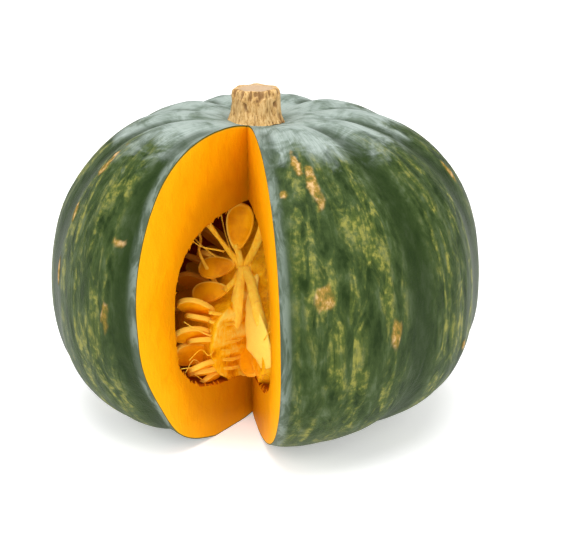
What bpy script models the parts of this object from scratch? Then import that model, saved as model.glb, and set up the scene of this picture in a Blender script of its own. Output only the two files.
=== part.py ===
"""Kabocha squash with one wedge cut out: the ribbed fruit, its corky stem, and its seeds in their pulp.

Metres, +Z up. The fruit stands on its blossom end on z = 0, its box is centred on the origin,
and the notch that the wedge left opens towards -Y. Angles are in degrees. Azimuths turn from +X
towards +Y, and latitudes run from -90 at the blossom end to 90 at the stem end.
"""
import math

import bmesh
import bpy
import numpy as np
from mathutils import Matrix, Vector

# Outside of the fruit: a superellipse turned about the axis, with a dimple at each end
MEAN_RADIUS = 0.0950
TOP_RISE = 0.0830
BOTTOM_DROP = 0.0617
TOP_FULLNESS = 2.41
BOTTOM_FULLNESS = 2.49
STEM_DIMPLE_DEPTH = 0.0098
STEM_DIMPLE_RADIUS = 0.026
BLOSSOM_DIMPLE_DEPTH = 0.0054
BLOSSOM_DIMPLE_RADIUS = 0.020
FOOT_FLAT = 0.0009
TOP_LEAN_X = -0.0011
TOP_LEAN_Y = -0.0020
BOTTOM_LEAN_X = -0.0079
BOTTOM_LEAN_Y = -0.0017

# Ribs: one groove between each two, deepest on the shoulder
GROOVE_AZIMUTHS = (-150.8, -113.8, -75.8, -34.8, -1.8, 34.2, 70.2, 106.2, 142.2, 175.2)
GROOVE_HALF_WIDTH = 7.5
GROOVE_DEPTH_SHOULDER = 0.0030
GROOVE_DEPTH_WAIST = 0.0018
RIB_SWELL = 0.0007
RIB_START_RADIUS = 0.014
RIB_FULL_RADIUS = 0.036

# The side that grew against the ground is pressed in: azimuth, latitude, depth and spread in degrees
DENTS = ((-105.4, -27.0, 0.0081, 25.8), (-128.0, 60.0, -0.0062, 26.0), (-168.0, 46.0, 0.0026, 24.0),
         (14.0, 52.0, -0.0028, 26.0))

# Blossom scar: a corky nub in the lower dimple
NUB_HEIGHT = 0.0020
NUB_RADIUS = 0.0075

# The wedge: its two cuts meet in a line that leans back a little towards the stem
NOTCH_AXIS_FOOT = (-0.0032, -0.0142)
NOTCH_AXIS_TOP = (-0.0040, -0.0164)
NOTCH_HALF_ANGLE = 22.05
NOTCH_MID_AZIMUTH = -90.0
WEDGE_REACH = 0.150
WEDGE_BELOW = -0.020
WEDGE_ABOVE = 0.160
FRUIT_TOP = 0.139

# Seed cavity
CAVITY_RADIUS = 0.0680
CAVITY_HALF_HEIGHT = 0.0400
CAVITY_MID_HEIGHT = 0.0620
CAVITY_TOP_FULLNESS = 2.95
CAVITY_BOTTOM_FULLNESS = 3.40

# Stem: what is left of the stalk, flared where it joins the fruit
STEM_X = -0.0034
STEM_Y = -0.0026
STEM_NECK_RADIUS = 0.0108
# Radius and height above the dimple of each ring up the stem's side and in over its end
STEM_SIDE = ((0.0126, 0.0014), (0.0119, 0.0030), (0.0112, 0.0052), (0.0108, 0.0074), (0.0106, 0.0125),
             (0.0102, 0.0152), (0.0090, 0.0160), (0.0053, 0.0153), (0.0, 0.0151))
STEM_UNDER_RADII = (0.0, 0.0045, 0.0090, 0.0122)
STEM_COLUMNS = 32
STEM_RIDGES, STEM_RIDGE_TURN = 7, 40
STEM_LOBES, STEM_LOBE_TURN = 3, -25
STEM_RIDGE_HEIGHT = 0.0006
STEM_GAP = 0.0004

# Pulp: a fibrous core in the cavity, of rings of these radii at these heights, with upright lobes
PULP_HEIGHTS = (0.020, 0.026, 0.034, 0.044, 0.051, 0.055, 0.058, 0.063, 0.071, 0.077, 0.083, 0.088)
PULP_RADII = (0.024, 0.036, 0.0430, 0.0435, 0.041, 0.036, 0.028, 0.022, 0.0205, 0.015, 0.009, 0.004)
PULP_COLUMNS = 36
PULP_LOBES = 11
PULP_LOBE_HEIGHT = 0.0016
PULP_LOBE_TWIST = 900
PULP_END_DOME = 0.001
PULP_SET_BACK = 0.0010
PULP_WALL_GAP = 0.0005

# Places at the cut faces: the face, the way along it from where the cuts meet, a height, and a depth
# into the fruit, which is less than zero in the notch
LEFT, RIGHT = -1, 1

# Strands, stalks and sheets that the cut bares: places along each, its widths, thickness and the
# azimuth that it faces
VIEW = -75
STRANDS = (
    (((LEFT, 0.004, 0.0720, 0.002), (LEFT, 0.013, 0.0860, 0.006), (LEFT, 0.026, 0.1030, 0.008)),
     (0.0032, 0.0018, 0.0034), 0.0020, VIEW),
    (((LEFT, 0.010, 0.0620, 0.010), (LEFT, 0.017, 0.0790, 0.014), (LEFT, 0.014, 0.0860, 0.016),
      (LEFT, 0.022, 0.1020, 0.016)), (0.0024, 0.0012, 0.0012, 0.0022), 0.0012, VIEW),
    (((LEFT, 0.003, 0.0710, 0.001), (RIGHT, 0.005, 0.0800, 0.001), (RIGHT, 0.012, 0.0920, 0.004),
      (RIGHT, 0.018, 0.1050, 0.006)), (0.0034, 0.0034, 0.0040, 0.0060), 0.0024, VIEW),
    (((LEFT, 0.004, 0.0710, 0.002), (LEFT, 0.0055, 0.0775, 0.0015), (LEFT, 0.0068, 0.0830, 0.0025)),
     (0.0040, 0.0028, 0.0028), 0.0024, VIEW),
    (((LEFT, 0.004, 0.0690, 0.003), (LEFT, 0.009, 0.0668, 0.002), (LEFT, 0.0140, 0.0632, 0.0035)),
     (0.0036, 0.0024, 0.0028), 0.0022, VIEW),
    (((LEFT, 0.004, 0.0720, 0.001), (LEFT, 0.0100, 0.0600, -0.0005), (LEFT, 0.0105, 0.0500, -0.0002),
      (LEFT, 0.0095, 0.0420, 0.0030)), (0.0036, 0.0054, 0.0046, 0.0030), 0.0034, VIEW),
    (((LEFT, 0.003, 0.0720, 0.001), (RIGHT, 0.010, 0.0670, -0.001), (RIGHT, 0.024, 0.0575, 0.000),
      (RIGHT, 0.027, 0.0480, 0.003)), (0.0040, 0.0044, 0.0052, 0.0040), 0.0030, VIEW),
    (((RIGHT, 0.003, 0.0690, 0.002), (RIGHT, 0.014, 0.0570, -0.0015), (RIGHT, 0.025, 0.0460, -0.001),
      (RIGHT, 0.029, 0.0350, 0.003)), (0.0050, 0.0140, 0.0240, 0.0120), 0.0026, -138),
)

# Comb of fibres on the left cut of the core
COMB_FIBRES = 7
COMB_LOWEST = 0.0270
COMB_STEP = 0.0042
COMB_STOPS = ((0.002, -0.0010, 0.0020), (0.011, 0.0000, 0.0004), (0.019, 0.0022, 0.0006),
              (0.026, 0.0050, 0.0030))
COMB_WIDTH = 0.0016

# Seeds: flat ovate, the pointed end rooted in the pulp
SEED_LENGTH = 0.0185
SEED_WIDTH = 0.0105
SEED_THICKNESS = 0.0034
SEED_RIM = 0.64
SEED_MIDDLE = 0.55
SEED_SIDES = 10
SEED_POINT = 0.30

# Seeds that the cut bares: the place of each one's point, then its heading, rise, roll and size
BARED_SEEDS = (
    ((LEFT, 0.0066, 0.0800, 0.0020), 80, 72, 70, 1.12),
    ((LEFT, 0.0060, 0.0735, 0.0030), -166, -9, -36, 0.90),
    ((LEFT, 0.0118, 0.0637, 0.0030), -170, -11, -36, 0.88),
    ((LEFT, 0.0200, 0.0550, 0.0050), -140, 25, 48, 0.98),
    ((LEFT, 0.0190, 0.0495, 0.0060), -128, 26, 76, 0.86),
    ((LEFT, 0.0230, 0.0460, 0.0045), -136, 10, 40, 0.98),
    ((LEFT, 0.0195, 0.0415, 0.0040), -124, 16, 66, 0.90),
    ((LEFT, 0.0210, 0.0375, 0.0050), -142, 2, 10, 1.04),
    ((LEFT, 0.0220, 0.0330, 0.0030), -118, 4, 56, 0.90),
    ((LEFT, 0.0180, 0.0280, 0.0030), -126, 9, 64, 0.98),
    ((LEFT, 0.0150, 0.0250, 0.0050), -112, -2, 36, 0.92),
    ((LEFT, 0.0020, 0.0350, 0.0010), -64, -36, 70, 0.92),
    ((RIGHT, 0.0100, 0.0385, 0.0005), -48, -40, 62, 1.00),
)

# Ranks of seeds round the rest of the core
RANKS = 9
RANK_FIRST_AZIMUTH = -38
RANK_TURN = 31
RANK_SEEDS = 5
RANK_LOWEST = 0.0300
RANK_STEP = 0.0095
RANK_STAGGER = 0.0040
RANK_LOW_RISE = -10
RANK_RISE_STEP = 11
RANK_ROLL = 60
# How far a seed of a rank strays in its place round the core, its heading, its roll and its size
STRAY_PLACE = 5
STRAY_HEADING = 14
STRAY_ROLL = 25
STRAY_SIZES = (0.92, 1.05)
ROOT_DEPTH = 0.0035
RANDOM_SEED = 7

# Steps of the mesh round and along the fruit and its cavity
AZIMUTH_STEPS = 88
LATITUDE_STEP = 7
CAVITY_STEP = 9
BLOSSOM_RINGS = (0.003, 0.006, 0.009, 0.012)
STEM_RINGS = (0.0127, 0.0090, 0.0045)

SKIN_GREEN = (0.050, 0.085, 0.030)
FLESH_ORANGE = (0.85, 0.36, 0.02)
PULP_ORANGE = (0.86, 0.42, 0.05)
STEM_TAN = (0.62, 0.44, 0.22)


def clear_scene():
    for thing in list(bpy.data.objects):
        bpy.data.objects.remove(thing, do_unlink=True)


def make_material(name, colour, roughness):
    material = bpy.data.materials.new(name)
    material.use_nodes = True
    shader = material.node_tree.nodes["Principled BSDF"]
    shader.inputs["Base Color"].default_value = (*colour, 1.0)
    shader.inputs["Roughness"].default_value = roughness
    shader.inputs["Metallic"].default_value = 0.0
    return material


def link_mesh(name, vertices, faces, materials):
    mesh = bpy.data.meshes.new(name)
    mesh.from_pydata([tuple(v) for v in vertices], [], faces)
    for material in materials:
        mesh.materials.append(material)
    thing = bpy.data.objects.new(name, mesh)
    bpy.context.collection.objects.link(thing)
    return thing


def turned_faces(rows, columns):
    """Faces of a closed skin of rings between two pole points: pole 0, rings, then the last pole."""
    def ring(row, column):
        return 1 + row * columns + column % columns

    last = 1 + rows * columns
    faces = []
    for column in range(columns):
        faces.append((0, ring(0, column + 1), ring(0, column)))
        faces.append((last, ring(rows - 1, column), ring(rows - 1, column + 1)))
        for row in range(rows - 1):
            faces.append((ring(row, column), ring(row, column + 1), ring(row + 1, column + 1),
                          ring(row + 1, column)))
    return faces


def turned_object(name, rings, materials):
    """Closed object from rings of points listed from the lowest up; first and last rings are poles."""
    vertices = [rings[0][0]]
    for ring in rings[1:-1]:
        vertices.extend(ring)
    vertices.append(rings[-1][0])
    return link_mesh(name, vertices, turned_faces(len(rings) - 2, len(rings[1])), materials)


def apply_modifiers(thing):
    """Replace the object's mesh by its evaluated one."""
    shape = bpy.context.evaluated_depsgraph_get()
    evaluated = thing.evaluated_get(shape)
    mesh = bpy.data.meshes.new_from_object(evaluated, depsgraph=shape)
    thing.modifiers.clear()
    thing.data = mesh


def cut(thing, tool, operation):
    """Boolean the object with a tool whose material the new faces keep, and remove the tool."""
    modifier = thing.modifiers.new(operation.lower(), "BOOLEAN")
    modifier.operation = operation
    modifier.object = tool
    modifier.material_mode = "TRANSFER"
    apply_modifiers(thing)
    bpy.data.objects.remove(tool, do_unlink=True)


def shade(thing, sharp_angle):
    thing.data.shade_smooth()
    thing.data.set_sharp_from_angle(angle=math.radians(sharp_angle))


# Fruit

def meridian(latitude):
    """Radius and height of the smooth fruit: a superellipse less the dimple at each end."""
    turn = np.radians(latitude)
    upper = turn > 0
    power = np.where(upper, 2 / TOP_FULLNESS, 2 / BOTTOM_FULLNESS)
    radius = MEAN_RADIUS * np.abs(np.cos(turn)) ** power
    height = np.where(upper, TOP_RISE, -BOTTOM_DROP) * np.abs(np.sin(turn)) ** power
    stem_dimple = STEM_DIMPLE_DEPTH * np.exp(-(radius / STEM_DIMPLE_RADIUS) ** 2)
    blossom_dimple = BLOSSOM_DIMPLE_DEPTH * np.exp(-(radius / BLOSSOM_DIMPLE_RADIUS) ** 2)
    return radius, height + np.where(upper, -stem_dimple, blossom_dimple)


def lowest_height():
    return meridian(np.linspace(-90, 0, 721))[1].min()


def latitude_at(radius, fullness):
    return math.degrees(math.acos((radius / MEAN_RADIUS) ** (fullness / 2)))


def fade_in(radius):
    """0 near the ends of the fruit and 1 where the ribs are full, along a smooth step."""
    x = np.clip((radius - RIB_START_RADIUS) / (RIB_FULL_RADIUS - RIB_START_RADIUS), 0, 1)
    return x * x * (3 - 2 * x)


def rib_relief(azimuth, latitude, radius):
    """Height over the smooth fruit: the ribs' swell less a bell-shaped groove at each groove azimuth."""
    grooves = np.zeros_like(azimuth)
    for centre in GROOVE_AZIMUTHS:
        away = (azimuth - centre + 180) % 360 - 180
        grooves = grooves + np.exp(-(away / GROOVE_HALF_WIDTH) ** 2)
    shoulder = np.sin(np.radians(np.abs(latitude))) ** 2
    depth = GROOVE_DEPTH_WAIST + (GROOVE_DEPTH_SHOULDER - GROOVE_DEPTH_WAIST) * shoulder
    return fade_in(radius) * (RIB_SWELL - depth * grooves)


def dent_depth(azimuth, latitude):
    """Sum of the dents, each a bell over the angle between a point's direction and the dent's."""
    depth = np.zeros_like(azimuth)
    for dent_azimuth, dent_latitude, deepest, spread in DENTS:
        here, there = np.radians(latitude), math.radians(dent_latitude)
        nearness = (np.cos(here) * math.cos(there) * np.cos(np.radians(azimuth - dent_azimuth))
                    + np.sin(here) * math.sin(there))
        away = np.degrees(np.arccos(np.clip(nearness, -1, 1)))
        depth = depth + deepest * np.exp(-(away / spread) ** 2)
    return depth


def skin_points(latitude, azimuth):
    """Points of the fruit's outside: the meridian moved along its normal by the ribs, dented and leant."""
    radius, height = meridian(latitude)
    step = 0.05
    radius_a, height_a = meridian(np.clip(latitude - step, -90, 90))
    radius_b, height_b = meridian(np.clip(latitude + step, -90, 90))
    along = np.hypot(radius_b - radius_a, height_b - height_a) + 1e-12
    normal_r, normal_z = (height_b - height_a) / along, -(radius_b - radius_a) / along
    relief = rib_relief(azimuth, latitude, radius)
    nub = np.where(latitude < 0, NUB_HEIGHT * np.exp(-(radius / NUB_RADIUS) ** 4), 0)
    reach = radius + relief * normal_r - dent_depth(azimuth, latitude) * fade_in(radius)
    tall = height - lowest_height() + relief * normal_z - nub - FOOT_FLAT
    end = np.sin(np.radians(latitude)) ** 2
    lean_x = np.where(latitude > 0, TOP_LEAN_X, BOTTOM_LEAN_X) * end
    lean_y = np.where(latitude > 0, TOP_LEAN_Y, BOTTOM_LEAN_Y) * end
    turn = np.radians(azimuth)
    return np.stack([lean_x + reach * np.cos(turn), lean_y + reach * np.sin(turn), np.maximum(tall, 0)], -1)


def fruit_solid(skin):
    lower = [-latitude_at(r, BOTTOM_FULLNESS) for r in BLOSSOM_RINGS]
    upper = [latitude_at(r, TOP_FULLNESS) for r in STEM_RINGS]
    waist = list(range(-84, 85, LATITUDE_STEP))
    latitude = np.array([-90, *lower, *waist, *upper, 90], float)
    azimuth = np.arange(AZIMUTH_STEPS) * 360 / AZIMUTH_STEPS
    grid = skin_points(*np.meshgrid(latitude, azimuth, indexing="ij"))
    return turned_object("squash_body", grid, [skin])


def cavity_points(latitude, azimuth, inset):
    """Points of the cavity's wall, a superellipse turned about the axis, drawn in by the inset."""
    turn = np.radians(latitude)
    power = np.where(turn > 0, 2 / CAVITY_TOP_FULLNESS, 2 / CAVITY_BOTTOM_FULLNESS)
    reach = (CAVITY_RADIUS - inset) * np.abs(np.cos(turn)) ** power
    rise = (CAVITY_HALF_HEIGHT - inset) * np.sign(turn) * np.abs(np.sin(turn)) ** power
    return np.stack([reach * np.cos(np.radians(azimuth)), reach * np.sin(np.radians(azimuth)),
                     CAVITY_MID_HEIGHT + rise], -1)


def cavity_solid(name, inset, material):
    latitude = np.array([-90, *range(CAVITY_STEP - 90, 90, CAVITY_STEP), 90], float)
    azimuth = np.arange(0, 360, CAVITY_STEP, dtype=float)
    return turned_object(name, cavity_points(*np.meshgrid(latitude, azimuth, indexing="ij"), inset),
                         [material])


def notch_axis(height):
    """Point of the line where the two cuts meet, at a height."""
    share = height / FRUIT_TOP
    x = NOTCH_AXIS_FOOT[0] + share * (NOTCH_AXIS_TOP[0] - NOTCH_AXIS_FOOT[0])
    y = NOTCH_AXIS_FOOT[1] + share * (NOTCH_AXIS_TOP[1] - NOTCH_AXIS_FOOT[1])
    return Vector((x, y, height))


def heading(azimuth, rise=0.0):
    """Unit vector that points along an azimuth and rises by an angle."""
    turn, up = math.radians(azimuth), math.radians(rise)
    return Vector((math.cos(up) * math.cos(turn), math.cos(up) * math.sin(turn), math.sin(up)))


def wedge_solid(name, set_back, material):
    """The wedge that was cut out, as a prism; set_back moves its edge and cuts away from the notch."""
    back = -heading(NOTCH_MID_AZIMUTH) * set_back
    corners = []
    for height in (WEDGE_BELOW, WEDGE_ABOVE):
        edge = notch_axis(height) + back
        corners.append(edge)
        for side in (-1, 1):
            corners.append(edge + heading(NOTCH_MID_AZIMUTH + side * NOTCH_HALF_ANGLE) * WEDGE_REACH)
    faces = [(0, 2, 1), (3, 4, 5), (0, 1, 4, 3), (1, 2, 5, 4), (2, 0, 3, 5)]
    return link_mesh(name, corners, faces, [material])


def make_fruit(skin, flesh):
    fruit = fruit_solid(skin)
    cut(fruit, cavity_solid("cavity", 0.0, flesh), "DIFFERENCE")
    cut(fruit, wedge_solid("wedge", 0.0, flesh), "DIFFERENCE")
    shade(fruit, 35)
    return fruit


# Stem

def stem_points(rings, azimuth):
    """Rings of the stem, each a radius and a height, with upright ridges that fade at its middle."""
    points = []
    for radius, height in rings:
        ridge = STEM_RIDGE_HEIGHT * np.cos(np.radians(STEM_RIDGES * azimuth + STEM_RIDGE_TURN))
        ridge = ridge + 0.5 * STEM_RIDGE_HEIGHT * np.cos(np.radians(STEM_LOBES * azimuth + STEM_LOBE_TURN))
        reach = radius + ridge * min(radius / STEM_NECK_RADIUS, 1.0)
        turn = np.radians(azimuth)
        points.append(np.stack([STEM_X + reach * np.cos(turn), STEM_Y + reach * np.sin(turn),
                                np.full_like(azimuth, height)], -1))
    return points


def fruit_top_height(x, y):
    """Height of the fruit's outside near the stem."""
    radius = np.hypot(x - TOP_LEAN_X, y - TOP_LEAN_Y)
    latitude = np.degrees(np.arccos(np.clip(radius / MEAN_RADIUS, 0, 1) ** (TOP_FULLNESS / 2)))
    return meridian(latitude)[1] - lowest_height() - FOOT_FLAT


def make_stem(material):
    """The stub: its underside follows the dimple, its side narrows to a neck, and its end is dished."""
    foot = float(fruit_top_height(np.array(STEM_X), np.array(STEM_Y)))
    azimuth = np.arange(STEM_COLUMNS) * 360 / STEM_COLUMNS
    under = stem_points([(radius, 0.0) for radius in STEM_UNDER_RADII], azimuth)
    for ring in under:
        ring[:, 2] = fruit_top_height(ring[:, 0], ring[:, 1]) + STEM_GAP
    rest = stem_points([(radius, foot + height) for radius, height in STEM_SIDE], azimuth)
    stem = turned_object("stem", under + rest, [material])
    shade(stem, 50)
    return stem


# Seeds and pulp

def pulp_core(material):
    """Core of the pulp: rings about the fruit's axis with shallow upright lobes, twisted as they rise."""
    azimuth = np.arange(PULP_COLUMNS) * 360 / PULP_COLUMNS
    turn = np.radians(azimuth)
    rings = []
    for height, radius in zip(PULP_HEIGHTS, PULP_RADII):
        lobes = PULP_LOBE_HEIGHT * np.cos(np.radians(PULP_LOBES * azimuth + PULP_LOBE_TWIST * height))
        reach = radius + lobes * radius / max(PULP_RADII)
        rings.append(np.stack([reach * np.cos(turn), reach * np.sin(turn), np.full_like(azimuth, height)], -1))
    bottom = rings[0] * (0, 0, 1) - (0, 0, PULP_END_DOME)
    top = rings[-1] * (0, 0, 1) + (0, 0, PULP_END_DOME)
    return turned_object("pulp_core", [bottom, *rings, top], [material])


def cut_face_point(side, along, height, depth):
    """Point on a cut face: along it from where the cuts meet, at a height, and set into the fruit."""
    out = heading(NOTCH_MID_AZIMUTH + side * NOTCH_HALF_ANGLE)
    inward = heading(NOTCH_MID_AZIMUTH + side * (NOTCH_HALF_ANGLE + 90))
    return notch_axis(height) + out * along + inward * depth


def smooth_path(points, steps):
    """Points along a Catmull-Rom curve through the given ones."""
    p = np.array(points, float)
    p = np.vstack([2 * p[0] - p[1], p, 2 * p[-1] - p[-2]])
    path = []
    for i in range(1, len(p) - 2):
        for t in np.arange(steps) / steps:
            path.append(0.5 * (2 * p[i] + (p[i + 1] - p[i - 1]) * t
                               + (2 * p[i - 1] - 5 * p[i] + 4 * p[i + 1] - p[i + 2]) * t ** 2
                               + (3 * p[i] - p[i - 1] - 3 * p[i + 1] + p[i + 2]) * t ** 3))
    path.append(p[-2])
    return np.array(path)


def strand(places, widths, thickness, faces, material, steps=3):
    """A strand or sheet: a six-sided section carried along a smooth path, wide across what it faces."""
    path = smooth_path([cut_face_point(*place) for place in places], steps)
    along = np.gradient(path, axis=0)
    along = along / np.linalg.norm(along, axis=1)[:, None]
    across = np.cross(along, np.array(heading(faces)))
    across = across / np.linalg.norm(across, axis=1)[:, None]
    out = np.cross(across, along)
    width = np.interp(np.linspace(0, 1, len(path)), np.linspace(0, 1, len(widths)), widths)
    rings = []
    for angle in np.radians(np.arange(0, 360, 60)):
        rings.append(path + across * (width * math.cos(angle) / 2)[:, None]
                     + out * (thickness * math.sin(angle) / 2))
    thing = turned_object("strand", [path[:1], *np.stack(rings, 1), path[-1:]], [material])
    face_outwards(thing)
    return thing


def all_strands(material):
    """The strands and sheets, and the comb of fibres on the left cut."""
    strands = [strand(*row, material) for row in STRANDS]
    for i in range(COMB_FIBRES):
        height = COMB_LOWEST + COMB_STEP * i
        places = [(LEFT, along, height + rise, depth) for along, rise, depth in COMB_STOPS]
        widths = [COMB_WIDTH] * len(places)
        strands.append(strand(places, widths, COMB_WIDTH, VIEW, material, 1))
    return strands


def face_outwards(thing):
    shape = bmesh.new()
    shape.from_mesh(thing.data)
    bmesh.ops.recalc_face_normals(shape, faces=shape.faces)
    shape.to_mesh(thing.data)
    shape.free()


def seed_mesh(material):
    """A seed along +X from its point: an egg outline, a square-edged rim, and two low domed faces."""
    angle = np.arange(SEED_SIDES) * 2 * math.pi / SEED_SIDES
    x = SEED_LENGTH * (1 - np.cos(angle)) / 2
    y = SEED_WIDTH / 2 * np.sin(angle) * (1 - SEED_POINT * np.cos(angle))
    rim = SEED_THICKNESS * SEED_RIM / 2
    vertices = [(SEED_LENGTH * SEED_MIDDLE, 0, -SEED_THICKNESS / 2)]
    for z in (-rim, rim):
        vertices.extend(zip(x, y, np.full(SEED_SIDES, z)))
    vertices.append((SEED_LENGTH * SEED_MIDDLE, 0, SEED_THICKNESS / 2))
    seed = link_mesh("seed_pattern", vertices, turned_faces(2, SEED_SIDES), [material])
    face_outwards(seed)
    mesh = seed.data
    bpy.data.objects.remove(seed)
    return mesh


def place_seed(mesh, point, azimuth, rise, roll, size):
    """A seed from its point along a heading; roll 0 turns its flat sides level, and 90 up and down."""
    along = heading(azimuth, rise)
    side = along.cross(Vector((0, 0, 1))).normalized()
    up = side.cross(along)
    turn = math.radians(roll)
    normal = side * math.cos(turn) + up * math.sin(turn)
    across = normal.cross(along)
    place = Matrix((along, across, normal)).transposed().to_4x4()
    place.translation = point
    seed = bpy.data.objects.new("seed", mesh)
    seed.matrix_world = place @ Matrix.Scale(size, 4)
    return seed


def seed_places(mesh, random):
    """The seeds that the cut bares, then the ranks round the core, each with its point sunk in."""
    seeds = [place_seed(mesh, cut_face_point(*place), *turns) for place, *turns in BARED_SEEDS]
    for rank in range(RANKS):
        for i in range(RANK_SEEDS):
            height = RANK_LOWEST + RANK_STEP * i + RANK_STAGGER * (rank % 2)
            turn = RANK_FIRST_AZIMUTH + rank * RANK_TURN + random.uniform(-STRAY_PLACE, STRAY_PLACE)
            reach = float(np.interp(height, PULP_HEIGHTS, PULP_RADII)) - ROOT_DEPTH
            seeds.append(place_seed(mesh, heading(turn) * reach + Vector((0, 0, height)),
                                    turn + random.uniform(-STRAY_HEADING, STRAY_HEADING),
                                    RANK_LOW_RISE + RANK_RISE_STEP * i,
                                    RANK_ROLL + random.uniform(-STRAY_ROLL, STRAY_ROLL),
                                    random.uniform(*STRAY_SIZES)))
    return seeds


def make_seeds(material):
    """Core, strands and seeds joined, then trimmed to the cavity less a hair's gap."""
    core = pulp_core(material)
    cut(core, wedge_solid("pulp_wedge", PULP_SET_BACK, material), "DIFFERENCE")
    members = bpy.data.collections.new("pulp_members")
    bpy.context.scene.collection.children.link(members)
    seeds = seed_places(seed_mesh(material), np.random.default_rng(RANDOM_SEED))
    for thing in all_strands(material) + seeds:
        for home in list(thing.users_collection):
            home.objects.unlink(thing)
        members.objects.link(thing)
    join = core.modifiers.new("join", "BOOLEAN")
    join.operation = "UNION"
    join.operand_type = "COLLECTION"
    join.collection = members
    join.use_self = True
    apply_modifiers(core)
    for thing in list(members.objects):
        bpy.data.objects.remove(thing, do_unlink=True)
    bpy.data.collections.remove(members)
    cut(core, cavity_solid("cavity_trim", PULP_WALL_GAP, material), "INTERSECT")
    core.name = "seeds_in_pulp"
    shade(core, 30)
    return core


def centre_on_origin(things):
    """Move the whole squash so that its box stands on the origin at its middle."""
    corners = np.vstack([[tuple(v.co) for v in thing.data.vertices] for thing in things])
    low, high = corners.min(0), corners.max(0)
    for thing in things:
        thing.location = (-(low[0] + high[0]) / 2, -(low[1] + high[1]) / 2, 0)


clear_scene()
skin_material = make_material("green_skin", SKIN_GREEN, 0.45)
flesh_material = make_material("orange_flesh", FLESH_ORANGE, 0.5)
pulp_material = make_material("seeds_and_pulp", PULP_ORANGE, 0.4)
stem_material = make_material("corky_stem", STEM_TAN, 0.85)
centre_on_origin([
    make_fruit(skin_material, flesh_material),
    make_stem(stem_material),
    make_seeds(pulp_material),
])
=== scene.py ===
"""Kabocha squash with a wedge cut out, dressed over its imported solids.

The fruit stands on z = 0 and its notch opens towards -Y. Lengths are in metres and angles in degrees:
azimuths turn from +X towards +Y, and latitudes run from -90 at the blossom end to 90 at the stem end.
"""
import itertools
import math

import bmesh
import bpy
import numpy as np
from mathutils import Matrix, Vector


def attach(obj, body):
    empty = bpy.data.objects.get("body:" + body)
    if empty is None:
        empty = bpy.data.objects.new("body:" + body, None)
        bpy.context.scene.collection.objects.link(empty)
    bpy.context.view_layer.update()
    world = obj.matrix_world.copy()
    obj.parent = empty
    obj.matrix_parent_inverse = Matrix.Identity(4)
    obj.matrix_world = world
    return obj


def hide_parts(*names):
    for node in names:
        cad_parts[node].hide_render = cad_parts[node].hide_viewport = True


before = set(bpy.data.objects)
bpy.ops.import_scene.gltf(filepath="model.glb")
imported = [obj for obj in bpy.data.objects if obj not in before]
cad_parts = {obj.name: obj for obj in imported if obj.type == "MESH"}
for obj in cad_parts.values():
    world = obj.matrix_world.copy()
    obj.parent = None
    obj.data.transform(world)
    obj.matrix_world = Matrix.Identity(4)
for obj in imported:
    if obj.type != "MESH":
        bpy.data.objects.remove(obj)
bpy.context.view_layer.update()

# Shape of the fruit
# It grew as one piece: a superellipse turned about its axis, dimpled at both ends and drawn in by ten
# grooves. The side that lay against the ground is pressed in, and corky scars stand on the skin.
AXIS_X, AXIS_Y = 0.0002, -0.0031
MEAN_RADIUS = 0.0950
TOP_RISE, BOTTOM_DROP = 0.0830, 0.0617
TOP_FULLNESS, BOTTOM_FULLNESS = 2.41, 2.49
STEM_DIMPLE_DEPTH, STEM_DIMPLE_RADIUS = 0.0098, 0.026
BLOSSOM_DIMPLE_DEPTH, BLOSSOM_DIMPLE_RADIUS = 0.0054, 0.020
FOOT_FLAT = 0.0009
TOP_LEAN_X, TOP_LEAN_Y = -0.0011, -0.0020
BOTTOM_LEAN_X, BOTTOM_LEAN_Y = -0.0079, -0.0017
GROOVE_AZIMUTHS = (-150.8, -113.8, -75.8, -34.8, -1.8, 34.2, 70.2, 106.2, 142.2, 175.2)
GROOVE_HALF_WIDTH = 7.5
GROOVE_DEPTH_SHOULDER, GROOVE_DEPTH_WAIST = 0.0030, 0.0018
RIB_SWELL = 0.0007
RIB_START_RADIUS, RIB_FULL_RADIUS = 0.014, 0.036
DENTS = ((-105.4, -27.0, 0.0081, 25.8), (-128.0, 60.0, -0.0062, 26.0), (-168.0, 46.0, 0.0026, 24.0),
         (14.0, 52.0, -0.0028, 26.0))
NUB_HEIGHT, NUB_RADIUS = 0.0020, 0.0075
FURROW_PLACES, FURROW_DEPTH, FURROW_WIDTH, FURROW_WANDER = (0.30, 0.52, 0.72), 0.00035, 0.055, 0.030
LUMP_SIZE, LUMP_HEIGHT = 0.022, 0.00035
GRAIN_SIZE, GRAIN_HEIGHT = 0.0035, 0.00007
CORK_HEIGHT, CORK_FRAY, CORK_FRAY_SIZE, CORK_EDGE = 0.0004, 1.25, 0.0036, (0.65, 1.75)
# Each scar: azimuth, latitude, length down the fruit and width across it
SCARS = (
    (-138.8, 49.0, 0.0160, 0.0045), (-142.8, 28.0, 0.0080, 0.0040), (-117.8, 25.0, 0.0050, 0.0050),
    (-145.8, 9.0, 0.0110, 0.0030), (-120.8, 5.0, 0.0100, 0.0022), (-64.8, 56.0, 0.0120, 0.0028),
    (-60.8, 46.0, 0.0190, 0.0036), (-70.8, 45.0, 0.0045, 0.0034), (-62.8, 14.0, 0.0075, 0.0065),
    (-44.3, 3.0, 0.0060, 0.0045), (62.0, 30.0, 0.0120, 0.0030), (118.0, 12.0, 0.0070, 0.0050),
    (5.0, 38.0, 0.0090, 0.0030), (160.0, 44.0, 0.0130, 0.0035), (-15.0, -8.0, 0.0050, 0.0040),
)


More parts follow.
